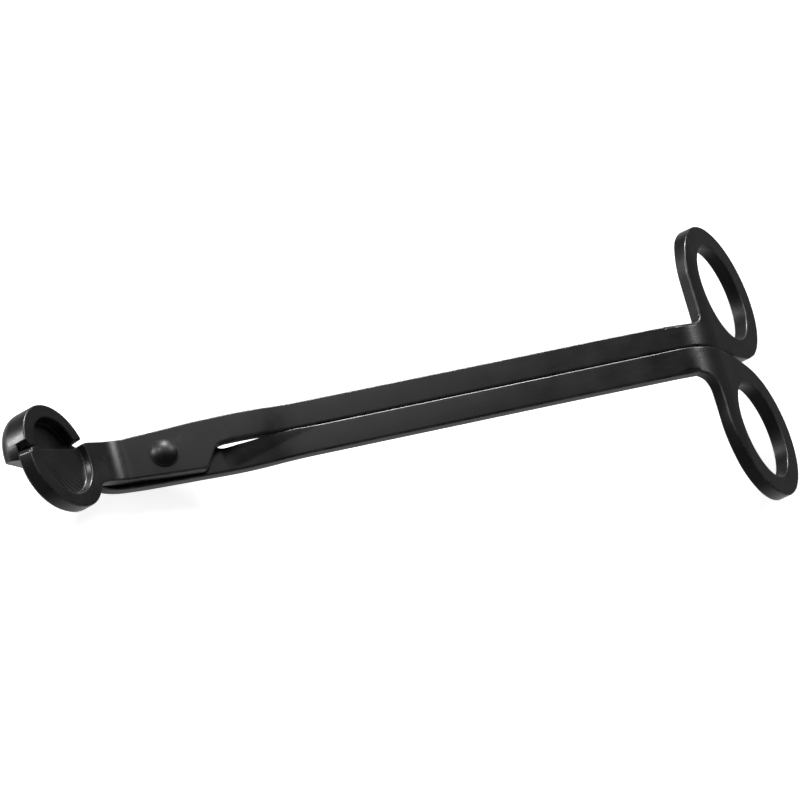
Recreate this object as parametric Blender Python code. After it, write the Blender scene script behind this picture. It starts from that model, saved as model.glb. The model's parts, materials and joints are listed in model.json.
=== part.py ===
"""Scissor-type wick trimmer: two crossing one-piece levers held by one rivet.

The trimmer lies face up as it rests on a table: the two finger loops and the
back of the head bend touch z = 0, the arms rise towards the handles (+X).
Lengths below are millimetres in the tool's own frame: u runs along the arms
towards the handles, v across them, w is the rivet axis, with the pivot at
u = v = 0.  Each lever is drawn flat as an outline in (x, v), where x is the
developed length along the lever, and is then wrapped round its own path.
"""
import math

import bpy
from mathutils import Vector
from mathutils.geometry import delaunay_2d_cdt

MM = 0.001

# Sheet and arms
SHEET = 2.5
LOOP_SHEET = 3.2
EDGE_ROUND = 0.4
ARM_FRONT = 2.5
UPPER_WIDTH = 5.6
LOWER_WIDTH = 6.1
SEAM_GAP = 0.3
SHEAR_GAP = 0.3
JOGGLE_START = 14.0
JOGGLE_LENGTH = 18.0

# Bends
LOOP_BEND_AT = 120.0
LOOP_BEND_ANGLE = math.radians(55.8)
LOOP_BEND_RADIUS = 11.0
HEAD_BEND_AT = -10.66
HEAD_BEND_ANGLE = math.radians(47.6)
HEAD_BEND_RADIUS = 7.0
BACK_BEND_RADIUS = 9.5

# Finger loops: oval rings, s from the bend line and v from the seam
LOOP_CENTRE = (16.8, 16.4)
LOOP_HALF_LENGTH = 14.9
LOOP_HALF_WIDTH = 15.6
UPPER_CORNER = 1.3
LOWER_CORNER = 2.7
HOLE_CENTRE = (17.1, 16.5)
HOLE_HALF_LENGTH = 10.0
HOLE_HALF_WIDTH = 11.0

# Front jaw: shallow half-round tray
FRONT_JAW_CENTRE = (18.25, -2.1)
FRONT_JAW_HALF_LENGTH = 11.9
FRONT_JAW_HALF_WIDTH = 11.05
FRONT_BOWL_CENTRE = (18.0, -1.2)
FRONT_BOWL_RADIUS = 8.8
FRONT_JAW_DEPTH = 3.4
FRONT_RECESS = 1.35
CUT_POINT = (11.8, 1.8)
CUT_SLOPE = -0.178

# Back jaw: deep half-round tray whose floor slides under the front jaw
BACK_JAW_CENTRE = (18.4, 0.05)
BACK_JAW_RADIUS = 10.9
BACK_BOWL_CENTRE = (18.35, 0.4)
BACK_BOWL_RADIUS = 7.55
BACK_RIM_HEIGHT = 2.5
BACK_FLOOR_DROP = 3.7
BACK_JAW_BOTTOM = 5.2
BACK_JAW_BOTTOM_ROUND = 3.0
BACK_FLOOR_EDGE = -2.5
CUT_FACE_LEAN = 0.33
RIM_END_POINT = (9.1, 4.4)
RIM_END_SLOPE = -0.253
RIM_TIP_POINT = (27.9, -0.35)
RIM_TIP_SLOPE = 0.95

# Rivet
HEAD_RADIUS = 3.05
HEAD_HEIGHT = 1.7
TAIL_RADIUS = 2.7
TAIL_HEIGHT = 0.7
SHANK_RADIUS = 1.95
BORE_RADIUS = 2.0
ROUND_FACETS = 40

# Attitude on the table
REST_TILT = math.radians(9.25)

STEP = 1.6
CREASE_ANGLE = math.radians(30.0)


def clear_scene():
    for item in list(bpy.data.objects):
        bpy.data.objects.remove(item, do_unlink=True)


def coated_metal(name, grey, roughness):
    material = bpy.data.materials.new(name)
    material.use_nodes = True
    shader = material.node_tree.nodes["Principled BSDF"]
    shader.inputs["Base Color"].default_value = (grey, grey, grey, 1.0)
    shader.inputs["Metallic"].default_value = 0.3
    shader.inputs["Roughness"].default_value = roughness
    return material


class LeverPath:
    """Front surface of a lever seen from the side, as straight and curved legs."""

    def __init__(self, height, right_legs, left_legs):
        self.height = height
        self.right_legs = right_legs
        self.left_legs = left_legs

    def at(self, x):
        """Point (u, w) and tangent angle at developed length x."""
        side = 1.0 if x >= 0.0 else -1.0
        legs = self.right_legs if x >= 0.0 else self.left_legs
        left_over = abs(x)
        u, w, angle = 0.0, self.height, 0.0
        for length, turn in legs:
            part = min(left_over, length)
            if abs(turn) < 1e-9:
                u += side * part * math.cos(angle)
                w += side * part * math.sin(angle)
            else:
                bend = turn / length
                end = angle + bend * part
                u += side * (math.sin(end) - math.sin(angle)) / bend
                w -= side * (math.cos(end) - math.cos(angle)) / bend
                angle = end
            left_over -= part
            if left_over <= 0.0:
                return u, w, angle
        u += side * left_over * math.cos(angle)
        w += side * left_over * math.sin(angle)
        return u, w, angle

    def place(self, x, v, h):
        u, w, angle = self.at(x)
        return Vector((u - h * math.sin(angle), v, w + h * math.cos(angle)))


def bend_legs(radius, angle):
    """Arc length of a bend and the straight length it takes off each side."""
    return radius * angle, radius * math.tan(angle / 2.0)


def make_path(height, joggle, head_at, head_radius):
    loop_arc, loop_tangent = bend_legs(LOOP_BEND_RADIUS, LOOP_BEND_ANGLE)
    head_arc, head_tangent = bend_legs(head_radius, HEAD_BEND_ANGLE)
    half = JOGGLE_LENGTH / 2.0
    turn = joggle / half
    straight = LOOP_BEND_AT - loop_tangent - JOGGLE_START - JOGGLE_LENGTH
    right = [
        (JOGGLE_START, 0.0),
        (half, turn),
        (half, -turn),
        (straight, 0.0),
        (loop_arc, -LOOP_BEND_ANGLE),
    ]
    left = [(-head_at - head_tangent, 0.0), (head_arc, -HEAD_BEND_ANGLE)]
    return LeverPath(height, right, left)


def head_x(s, head_at, head_radius):
    """Developed length of a spot s beyond the sharp head bend line."""
    arc, tangent = bend_legs(head_radius, HEAD_BEND_ANGLE)
    return head_at - s + 2.0 * tangent - arc


def loop_x(s):
    """Developed length of a spot s beyond the sharp loop bend line."""
    arc, tangent = bend_legs(LOOP_BEND_RADIUS, LOOP_BEND_ANGLE)
    return LOOP_BEND_AT + s - 2.0 * tangent + arc


FRONT_HEIGHT = ARM_FRONT + (SHEET + SHEAR_GAP) / 2.0
BACK_HEIGHT = ARM_FRONT - (SHEET + SHEAR_GAP) / 2.0
LIFT = (BACK_HEIGHT - FRONT_HEIGHT) * math.cos(HEAD_BEND_ANGLE) + BACK_FLOOR_DROP
BACK_BEND_AT = HEAD_BEND_AT - LIFT / math.sin(HEAD_BEND_ANGLE)
BACK_SHIFT = (HEAD_BEND_AT - BACK_BEND_AT) * math.cos(HEAD_BEND_ANGLE)
BACK_SHIFT -= (FRONT_HEIGHT - BACK_HEIGHT) * math.sin(HEAD_BEND_ANGLE)


def smooth(points, step=STEP):
    """Even samples of a curve through the points (Catmull-Rom), ends included."""
    rounded = []
    count = len(points)
    for i in range(count - 1):
        a = Vector(points[max(i - 1, 0)])
        b = Vector(points[i])
        c = Vector(points[i + 1])
        d = Vector(points[min(i + 2, count - 1)])
        pieces = max(1, int(math.ceil((c - b).length / step)))
        for k in range(pieces):
            t = k / pieces
            spot = 0.5 * (2 * b + (c - a) * t + (2 * a - 5 * b + 4 * c - d) * t * t
                          + (3 * b - a - 3 * c + d) * t * t * t)
            rounded.append((spot.x, spot.y))
    rounded.append(tuple(points[-1]))
    return rounded


def straight(first, last, step=STEP):
    a, b = Vector(first), Vector(last)
    pieces = max(1, int(math.ceil((b - a).length / step)))
    return [tuple(a.lerp(b, k / pieces)) for k in range(pieces + 1)]


def join(*pieces):
    """One closed outline from pieces that follow each other."""
    outline = []
    for piece in pieces:
        for spot in piece:
            if not outline or (Vector(spot) - Vector(outline[-1])).length > 0.15:
                outline.append(tuple(spot))
    if (Vector(outline[0]) - Vector(outline[-1])).length < 0.15:
        outline.pop()
    return outline


def area(outline):
    total = 0.0
    for i, (x, y) in enumerate(outline):
        x2, y2 = outline[(i + 1) % len(outline)]
        total += x * y2 - x2 * y
    return total / 2.0


def counter_clockwise(outline):
    return outline if area(outline) > 0 else outline[::-1]


def inset(outline, distance):
    """The outline moved to its left by a distance (inwards if it runs anticlockwise)."""
    moved = []
    count = len(outline)
    for i in range(count):
        before = Vector(outline[i - 1])
        here = Vector(outline[i])
        after = Vector(outline[(i + 1) % count])
        first = (here - before).normalized()
        second = (after - here).normalized()
        middle = (first + second).normalized()
        stretch = 1.0 / max(0.5, middle.dot(first))
        normal = Vector((-middle.y, middle.x))
        spot = here + normal * distance * stretch
        moved.append((spot.x, spot.y))
    return moved


def inside(outline, x, y):
    odd = False
    for i in range(len(outline)):
        ax, ay = outline[i - 1]
        bx, by = outline[i]
        if (ay > y) != (by > y) and x < (bx - ax) * (y - ay) / (by - ay) + ax:
            odd = not odd
    return odd


def clearance(outline, x, y):
    return min(math.hypot(x - a, y - b) for a, b in outline)


def bend_stations(path):
    """Developed lengths at which a lever needs a row of vertices to follow its bends."""
    stations = []
    for side, legs in ((1.0, path.right_legs), (-1.0, path.left_legs)):
        start = 0.0
        for length, turn in legs:
            if abs(turn) > 1e-9:
                rows = max(2, int(round(abs(turn) / math.radians(7.0))))
                stations += [side * (start + length * k / rows) for k in range(rows + 1)]
            start += length
    return stations


def wrapped_plate(name, path, outline, loops, bores, thickness):
    """Closed plate with rounded edges, drawn flat and wrapped round its path."""
    outline = counter_clockwise(outline)
    loops = [counter_clockwise(ring)[::-1] for ring in loops]
    bores = [counter_clockwise(ring)[::-1] for ring in bores]
    r = EDGE_ROUND
    profile = [(r, 0.0), (0.29 * r, 0.29 * r), (0.0, r)]
    rings = [(outline, True)] + [(ring, True) for ring in loops] + [(ring, False) for ring in bores]

    vertices = []
    faces = []
    cap_spots = []
    cap_front = []
    cap_back = []
    for ring, rounded in rings:
        columns = []
        for side in (0, 1):
            for inwards, depth in (profile if side == 0 else profile[::-1]):
                moved = inset(ring, inwards) if rounded else ring
                row = []
                for x, v in moved:
                    t = thickness(x, v)
                    drop = depth if rounded else 0.29 * r * profile.index((inwards, depth))
                    if side == 1:
                        drop = t - drop
                    row.append(len(vertices))
                    vertices.append(path.place(x, v, -drop))
                columns.append((row, moved))
        count = len(ring)
        for (upper, _), (lower, _) in zip(columns, columns[1:]):
            for i in range(count):
                j = (i + 1) % count
                faces.append((upper[j], upper[i], lower[i], lower[j]))
        cap_spots.append(columns[0][1])
        cap_front.append(columns[0][0])
        cap_back.append(columns[-1][0])

    spots = []
    edges = []
    front_of = []
    back_of = []
    for ring_spots, front, back in zip(cap_spots, cap_front, cap_back):
        start = len(spots)
        count = len(ring_spots)
        spots += [Vector(spot) for spot in ring_spots]
        edges += [(start + i, start + (i + 1) % count) for i in range(count)]
        front_of += front
        back_of += back
    low = min(spot.y for spot in spots)
    high = max(spot.y for spot in spots)
    for x in bend_stations(path):
        v = low + 0.5
        while v < high:
            clear = all(clearance(ring, x, v) > 0.8 for ring in cap_spots)
            if clear and inside(cap_spots[0], x, v) and not any(inside(ring, x, v) for ring in cap_spots[1:]):
                front_of.append(len(vertices))
                vertices.append(path.place(x, v, 0.0))
                back_of.append(len(vertices))
                vertices.append(path.place(x, v, -thickness(x, v)))
                spots.append(Vector((x, v)))
            v += 2.2
    flat, _, triangles, origin, _, _ = delaunay_2d_cdt(spots, edges, [], 1, 1e-7)
    for triangle in triangles:
        middle = sum((flat[i] for i in triangle), Vector((0.0, 0.0))) / 3.0
        if any(inside(ring, middle.x, middle.y) for ring in cap_spots[1:]):
            continue
        corners = [origin[i][0] for i in triangle]
        faces.append([front_of[i] for i in corners])
        faces.append([back_of[i] for i in reversed(corners)])
    mesh = bpy.data.meshes.new(name)
    mesh.from_pydata(vertices, [], faces)
    mesh.validate()
    thing = bpy.data.objects.new(name, mesh)
    bpy.context.collection.objects.link(thing)
    return thing


def prism(name, path, outline, sections):
    """Closed body from an outline stacked at (height, inset) sections, top first."""
    outline = counter_clockwise(outline)
    vertices = []
    faces = []
    rows = []
    for height, inwards in sections:
        row = []
        for x, v in inset(outline, inwards):
            row.append(len(vertices))
            vertices.append(path.place(x, v, height))
        rows.append(row)
    count = len(outline)
    for upper, lower in zip(rows, rows[1:]):
        for i in range(count):
            j = (i + 1) % count
            faces.append((upper[j], upper[i], lower[i], lower[j]))
    faces.append(rows[0])
    faces.append(rows[-1][::-1])
    mesh = bpy.data.meshes.new(name)
    mesh.from_pydata(vertices, [], faces)
    thing = bpy.data.objects.new(name, mesh)
    bpy.context.collection.objects.link(thing)
    return thing


def boolean(thing, other, operation):
    modifier = thing.modifiers.new(operation.title() + " " + other.name, "BOOLEAN")
    modifier.object = other
    modifier.operation = operation
    modifier.solver = "EXACT"
    other.hide_render = True
    other.display_type = "WIRE"


def circle(centre, radius, facets=ROUND_FACETS):
    return [
        (centre[0] + radius * math.cos(2 * math.pi * k / facets),
         centre[1] + radius * math.sin(2 * math.pi * k / facets))
        for k in range(facets)
    ]


def oval(centre, half_length, half_width, start, end, pieces):
    """Part of an ellipse in a plane's (s, v), between two angles in degrees."""
    spots = []
    for k in range(pieces + 1):
        a = math.radians(start + (end - start) * k / pieces)
        spots.append((centre[0] + half_length * math.cos(a), centre[1] + half_width * math.sin(a)))
    return spots


def loop_outline(side, width, corner_round):
    """Outside of a finger loop, from the arm's outer edge round to the seam."""
    root = LOOP_CENTRE[0] - LOOP_HALF_LENGTH
    c = corner_round
    corner = [(root - 1.6 * c, width), (root - 0.75 * c, width + 0.35 * c),
              (root - 0.12 * c, width + 1.1 * c), (root, width + 2.4 * c)]
    round_part = oval(LOOP_CENTRE, LOOP_HALF_LENGTH, LOOP_HALF_WIDTH, 180.0, -58.0, 26)
    toe = [(21.2, 1.5), (17.0, 0.6), (13.0, SEAM_GAP / 2.0)]
    return smooth([(loop_x(s), side * v) for s, v in corner + round_part + toe])


def loop_hole(side):
    ring = oval(HOLE_CENTRE, HOLE_HALF_LENGTH, HOLE_HALF_WIDTH, 0.0, 360.0, 44)
    return [(loop_x(s), side * v) for s, v in ring[:-1]]


def lever_thickness(x, jaw_start, jaw_full, jaw_depth):
    """Sheet thickness, eased up towards the loop and towards the jaw."""
    if x > LOOP_BEND_AT - 4.0:
        share = min(1.0, (x - LOOP_BEND_AT + 4.0) / 8.0)
        share = share * share * (3.0 - 2.0 * share)
        return SHEET + (LOOP_SHEET - SHEET) * share
    if x < jaw_start:
        share = min(1.0, (jaw_start - x) / (jaw_start - jaw_full))
        share = share * share * (3.0 - 2.0 * share)
        return SHEET + (jaw_depth - SHEET) * share
    return SHEET


def front_lever():
    path = make_path(FRONT_HEIGHT, -(SHEET + SHEAR_GAP) / 2.0, HEAD_BEND_AT, HEAD_BEND_RADIUS)

    def head(s, v):
        return head_x(s, HEAD_BEND_AT, HEAD_BEND_RADIUS), v

    seam = SEAM_GAP / 2.0
    top = smooth([(112.0, UPPER_WIDTH), (90.0, 5.8), (60.0, 5.88), (31.0, 6.0), (20.0, 6.0), (13.6, 5.95),
                  (7.0, 5.85), (2.5, 5.65), (-1.9, 5.45), (-6.3, 5.3), head(1.0, 5.0), head(3.5, 4.5),
                  head(6.2, 3.95), head(8.6, 3.45), head(10.4, 2.75), head(*CUT_POINT)])
    tip_s = 28.7
    tip_v = CUT_POINT[1] + CUT_SLOPE * (tip_s - CUT_POINT[0])
    edge = straight(head(*CUT_POINT), head(tip_s, tip_v))
    jaw = oval(FRONT_JAW_CENTRE, FRONT_JAW_HALF_LENGTH, FRONT_JAW_HALF_WIDTH, 0.0, -152.0, 26)
    rim = [head(29.3, -1.45)] + [head(s, v) for s, v in jaw]
    bottom = smooth([rim[-1], head(6.9, -6.3), head(5.3, -5.45), head(3.1, -4.8), head(0.6, -4.35),
                     (-8.7, -4.3), (-4.4, -4.55), (-0.1, -4.85), (6.3, -5.2), (7.7, -5.3)])
    notch = smooth([(7.7, -5.3), (8.6, -4.7), (10.2, -2.05), (11.0, -0.9), (11.7, -0.3), (12.8, -0.05),
                    (14.5, 0.0), (20.8, 0.05), (27.3, 0.12), (33.0, seam)], 0.9)
    run = straight((33.0, seam), (loop_x(13.0), seam))
    loop = loop_outline(1.0, UPPER_WIDTH, UPPER_CORNER)
    outline = join(top, edge, rim, bottom, notch, run, loop[::-1])

    def thickness(x, v):
        return lever_thickness(x, head(3.5, 0)[0], head(7.0, 0)[0], FRONT_JAW_DEPTH)

    lever = wrapped_plate("Front_Lever", path, outline, [loop_hole(1.0)],
                          [circle((0.0, 0.0), BORE_RADIUS)], thickness)
    recess = [head(s, v) for s, v in circle(FRONT_BOWL_CENTRE, FRONT_BOWL_RADIUS)]
    cutter = prism("Front_Recess_Cutter", path, recess, [(4.0, 0.0), (-FRONT_RECESS, 0.0)])
    boolean(lever, cutter, "DIFFERENCE")
    return lever


def rim_line(s):
    """Where the raised rim of the back jaw ends: a straight cut, chamfered at the tip."""
    across = RIM_END_POINT[1] + RIM_END_SLOPE * (s - RIM_END_POINT[0])
    return max(across, RIM_TIP_POINT[1] + RIM_TIP_SLOPE * (s - RIM_TIP_POINT[0]))


def back_jaw(path, head):
    """Round cup, opened at the front and cut off at the side facing the front jaw."""
    body = [head(s, v) for s, v in circle(BACK_JAW_CENTRE, BACK_JAW_RADIUS, 56)]
    r = BACK_JAW_BOTTOM_ROUND
    sections = [(BACK_RIM_HEIGHT, 0.3), (BACK_RIM_HEIGHT - 0.3, 0.0), (0.0, 0.0)]
    for step in range(6):
        a = step * math.pi / 10.0
        sections.append((r * (1.0 - math.sin(a)) - BACK_JAW_BOTTOM, r * (1.0 - math.cos(a))))
    jaw = prism("Back_Jaw_Body", path, body, sections)

    bowl = [(s, v) for s, v in circle(BACK_BOWL_CENTRE, BACK_BOWL_RADIUS) if v > rim_line(s)]
    bowl.sort(key=lambda spot: math.atan2(spot[1] - rim_line(spot[0]), spot[0] - BACK_BOWL_CENTRE[0]))
    around = [(5.0, rim_line(5.0)), (5.0, -20.0), (34.0, -20.0), (34.0, rim_line(34.0)),
              (29.0, rim_line(29.0)), (27.75, rim_line(27.75))]
    recess = [head(s, v) for s, v in around + bowl]
    cutter = prism("Back_Recess_Cutter", path, recess, [(9.0, 0.0), (-0.05, 0.0)])
    boolean(jaw, cutter, "DIFFERENCE")

    below = [head(s, v) for s, v in [(2.0, -20.0), (36.0, -20.0), (36.0, BACK_FLOOR_EDGE), (2.0, BACK_FLOOR_EDGE)]]
    trim = prism("Back_Edge_Cutter", path, below, [(9.0, 0.0), (-0.5, 0.0), (-8.0, -7.5 * CUT_FACE_LEAN)])
    boolean(jaw, trim, "DIFFERENCE")
    return jaw


def back_lever():
    path = make_path(BACK_HEIGHT, (SHEET + SHEAR_GAP) / 2.0, BACK_BEND_AT, BACK_BEND_RADIUS)

    def head(s, v):
        """Head plane spot, s counted from the front lever's head bend line."""
        return head_x(s - BACK_SHIFT, BACK_BEND_AT, BACK_BEND_RADIUS), v

    seam = SEAM_GAP / 2.0
    low = smooth([(112.0, -LOWER_WIDTH), (90.0, -6.05), (60.0, -6.1), (31.0, -6.15), (20.0, -6.1), (13.0, -6.0),
                  (6.7, -5.8), (-4.2, -5.45), (-8.5, -5.2), (-12.0, -4.9), head(1.0, -4.55),
                  head(3.6, -3.7), head(6.2, -2.0), head(8.2, -1.2), head(11.0, -1.2)])
    end = smooth([head(11.0, -1.2), head(11.6, 0.9), head(11.0, 3.0)])
    top = smooth([head(11.0, 3.0), head(9.0, 3.9), head(6.5, 4.3), head(3.0, 4.5), (-10.0, 4.6),
                  (-4.0, 4.75), (2.0, 5.0), (7.2, 5.1)])
    notch = smooth([(7.2, 5.1), (8.2, 4.5), (9.8, 2.1), (10.9, 0.9), (11.9, 0.25), (13.0, -0.1), (14.5, -0.3),
                    (16.5, -0.38), (19.5, -0.42), (23.0, -0.36), (27.0, -0.22), (33.0, -seam)], 0.9)
    run = straight((33.0, -seam), (loop_x(13.0), -seam))
    loop = loop_outline(-1.0, LOWER_WIDTH, LOWER_CORNER)
    outline = join(low, end, top, notch, run, loop[::-1])

    def thickness(x, v):
        return lever_thickness(x, -90.0, -91.0, SHEET)

    lever = wrapped_plate("Back_Lever", path, outline, [loop_hole(-1.0)],
                          [circle((0.0, 0.0), BORE_RADIUS)], thickness)

    boolean(lever, back_jaw(path, head), "UNION")
    return lever


def rivet():
    """Domed head, shank through both levers and a low closed tail, one body."""
    top = FRONT_HEIGHT + 0.05
    bottom = BACK_HEIGHT - SHEET - 0.05
    sections = []
    ball = (HEAD_RADIUS ** 2 + HEAD_HEIGHT ** 2) / (2.0 * HEAD_HEIGHT)
    edge = math.asin(HEAD_RADIUS / ball)
    for k in range(1, 9):
        a = edge * k / 8.0
        sections.append((ball * math.sin(a), top + HEAD_HEIGHT - ball * (1.0 - math.cos(a))))
    sections += [(SHANK_RADIUS, top), (SHANK_RADIUS, bottom), (TAIL_RADIUS, bottom),
                 (TAIL_RADIUS, bottom - TAIL_HEIGHT + 0.3), (TAIL_RADIUS - 0.4, bottom - TAIL_HEIGHT)]
    vertices = [Vector((0.0, 0.0, top + HEAD_HEIGHT))]
    faces = []
    for radius, height in sections:
        vertices += [Vector((x, y, height)) for x, y in circle((0.0, 0.0), radius)]
    n = ROUND_FACETS
    for i in range(n):
        j = (i + 1) % n
        faces.append((0, 1 + i, 1 + j))
        for row in range(len(sections) - 1):
            a, b = 1 + row * n, 1 + (row + 1) * n
            faces.append((a + j, a + i, b + i, b + j))
    faces.append([1 + (len(sections) - 1) * n + i for i in reversed(range(n))])
    mesh = bpy.data.meshes.new("Pivot_Rivet")
    mesh.from_pydata(vertices, [], faces)
    thing = bpy.data.objects.new("Pivot_Rivet", mesh)
    bpy.context.collection.objects.link(thing)
    return thing


def to_table(spot):
    c, s = math.cos(REST_TILT), math.sin(REST_TILT)
    return Vector((spot.x * c - spot.z * s, spot.y, spot.x * s + spot.z * c)) * MM


def bake(thing):
    """Keep the outcome of a piece's modifiers as its own mesh, smooth but for its creases."""
    graph = bpy.context.evaluated_depsgraph_get()
    mesh = bpy.data.meshes.new_from_object(thing.evaluated_get(graph))
    mesh.name = thing.name
    thing.modifiers.clear()
    thing.data = mesh
    mesh.shade_smooth()
    mesh.set_sharp_from_angle(angle=CREASE_ANGLE)


def rest_on_table(solids):
    """Tilt the pieces as they lie on a table and centre them, with their origins on the rivet axis."""
    spots = []
    for thing in solids:
        for vertex in thing.data.vertices:
            vertex.co = to_table(vertex.co)
            spots.append(vertex.co.copy())
    place = Vector((
        -(min(p.x for p in spots) + max(p.x for p in spots)) / 2.0,
        -(min(p.y for p in spots) + max(p.y for p in spots)) / 2.0,
        -min(p.z for p in spots),
    ))
    for thing in solids:
        thing.location = place
    bpy.context.view_layer.update()
    return place


def build():
    clear_scene()
    front = front_lever()
    back = back_lever()
    pin = rivet()
    solids = [front, back, pin]
    bpy.context.view_layer.update()
    for thing in solids:
        bake(thing)
    for helper in [thing for thing in bpy.data.objects if thing not in solids]:
        bpy.data.objects.remove(helper, do_unlink=True)
    rest_on_table(solids)
    front.data.materials.append(coated_metal("Black coated steel, front lever", 0.02, 0.42))
    back.data.materials.append(coated_metal("Black coated steel, back lever", 0.018, 0.42))
    pin.data.materials.append(coated_metal("Black coated steel, rivet", 0.016, 0.3))


build()
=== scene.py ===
"""Looks of the wick trimmer: fine black-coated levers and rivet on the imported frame.

Lengths are millimetres in the tool's own frame (u along the arms, v across,
w the rivet axis), as in the CAD.  Each lever is drawn flat in (x, v), with x
the developed length along it, given a front and a back height at every spot,
and wrapped round its path.
"""
import json
import math

import bpy
from mathutils import Matrix, Vector
from mathutils.geometry import delaunay_2d_cdt


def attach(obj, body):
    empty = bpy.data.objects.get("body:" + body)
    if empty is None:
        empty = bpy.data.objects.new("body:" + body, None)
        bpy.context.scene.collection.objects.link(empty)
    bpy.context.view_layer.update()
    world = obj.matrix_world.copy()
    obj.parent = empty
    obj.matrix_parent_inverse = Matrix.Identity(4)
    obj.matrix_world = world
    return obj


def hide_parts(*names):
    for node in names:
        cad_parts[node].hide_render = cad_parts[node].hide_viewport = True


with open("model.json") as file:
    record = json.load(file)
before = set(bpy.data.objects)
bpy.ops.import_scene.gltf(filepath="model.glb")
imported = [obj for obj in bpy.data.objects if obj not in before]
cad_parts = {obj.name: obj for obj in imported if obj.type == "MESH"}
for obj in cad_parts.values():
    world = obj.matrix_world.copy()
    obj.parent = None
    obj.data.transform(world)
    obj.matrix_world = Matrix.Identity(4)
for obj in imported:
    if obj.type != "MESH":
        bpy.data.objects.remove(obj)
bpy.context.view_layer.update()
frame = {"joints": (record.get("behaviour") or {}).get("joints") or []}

MM = 0.001

# Dimensions.  They follow the CAD, except that here the seam is closer, the front
# jaw is slightly larger and deeper, and its lifted tip and the facet are added.
SHEET = 2.5
LOOP_SHEET = 3.2
ARM_FRONT = 2.5
UPPER_WIDTH = 5.6
LOWER_WIDTH = 6.1
UPPER_CORNER = 1.3
LOWER_CORNER = 2.7
SEAM_GAP = 0.14
SHEAR_GAP = 0.3
JOGGLE_START = 14.0
JOGGLE_LENGTH = 18.0
LOOP_BEND_AT = 120.0
LOOP_BEND_ANGLE = math.radians(55.8)
LOOP_BEND_RADIUS = 11.0
HEAD_BEND_AT = -10.66
HEAD_BEND_ANGLE = math.radians(47.6)
HEAD_BEND_RADIUS = 7.0
BACK_BEND_RADIUS = 9.5
LOOP_CENTRE = (16.8, 16.4)
LOOP_HALF_LENGTH = 14.9
LOOP_HALF_WIDTH = 15.6
HOLE_CENTRE = (17.1, 16.5)
HOLE_HALF_LENGTH = 10.0
HOLE_HALF_WIDTH = 11.0
FRONT_JAW_CENTRE = (18.28, -2.1)
FRONT_JAW_RADIUS = 11.95
FRONT_JAW_HALF_WIDTH = 10.95
FRONT_JAW_FULLNESS = 2.16
FRONT_BOWL_CENTRE = (18.0, -1.2)
FRONT_BOWL_RADIUS = 8.8
FRONT_JAW_DEPTH = 3.6
FRONT_RECESS = 1.35
TIP_LIFT = 0.4
CREASE_POINT = (12.3, -6.0)
CREASE_SLOPE = 0.25
FACET_SLOPE = 0.2
CUT_POINT = (11.8, 1.8)
CUT_SLOPE = -0.178
BACK_JAW_CENTRE = (18.4, 0.05)
BACK_JAW_RADIUS = 10.9
BACK_BOWL_CENTRE = (18.35, 0.4)
BACK_BOWL_RADIUS = 7.55
BACK_RIM_HEIGHT = 2.5
BACK_FLOOR_DROP = 3.7
BACK_JAW_BOTTOM = 5.2
BACK_BOTTOM_ROUND = 3.0
BACK_FLOOR_EDGE = -2.5
CUT_FACE_LEAN = 0.33
RIM_END_POINT = (9.1, 4.4)
RIM_END_SLOPE = -0.253
RIM_TIP_POINT = (27.9, -0.35)
RIM_TIP_SLOPE = 0.95
HEAD_RADIUS = 3.05
HEAD_HEIGHT = 1.7
TAIL_RADIUS = 2.7
TAIL_HEIGHT = 0.7
SHANK_RADIUS = 1.95
BORE_RADIUS = 2.0

# Spacing and fading of the grinding rings, in metres as the shader measures them
RING_SPACING = 0.00105
RING_FADE = (0.006, 0.017)

# Mesh detail
EDGE_ROUND = 0.32
CROWN = 0.13
STEP = 0.55
ROUND_STEPS = 4
BORE_ROUND = 0.12
INNER_ROW = 0.8
LINE_CLEARANCE = 0.06
ROW_CLEARANCE = 0.35
ROW_START = 0.4
ROW_STEP = 1.1
ARM_ROWS = [-8.0 + 2.5 * k for k in range(50)]
BEND_EDGE_ROWS = (0.7, 1.2, 4.3, 4.75, 5.0)
RIVET_FACETS = 72

# Heights that count as the floor of the front jaw's tray, and where the head starts
TRAY_FLOOR_LOW = -FRONT_RECESS - 0.01
TRAY_FLOOR_HIGH = -FRONT_RECESS + 0.02
HEAD_START = -15.0

# Where the facet beside the slit grows and fades, and how softly its crease turns
FACET_ALONG = [(12.5, 0.0), (16.0, 1.0), (32.0, 1.0), (36.0, 0.0)]
FACET_SOFTNESS = 0.2

hinge = frame["joints"][0]
AXIS_W = -Vector(hinge["axis"]).normalized()
AXIS_V = Vector((0.0, 1.0, 0.0))
AXIS_U = AXIS_V.cross(AXIS_W).normalized()
ORIGIN = Vector(hinge["pos_m"]) - AXIS_W * (ARM_FRONT - SHEET / 2.0) * MM


def to_row(spot):
    """Tool-frame millimetres to row-frame metres."""
    return ORIGIN + (AXIS_U * spot.x + AXIS_V * spot.y + AXIS_W * spot.z) * MM


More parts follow.
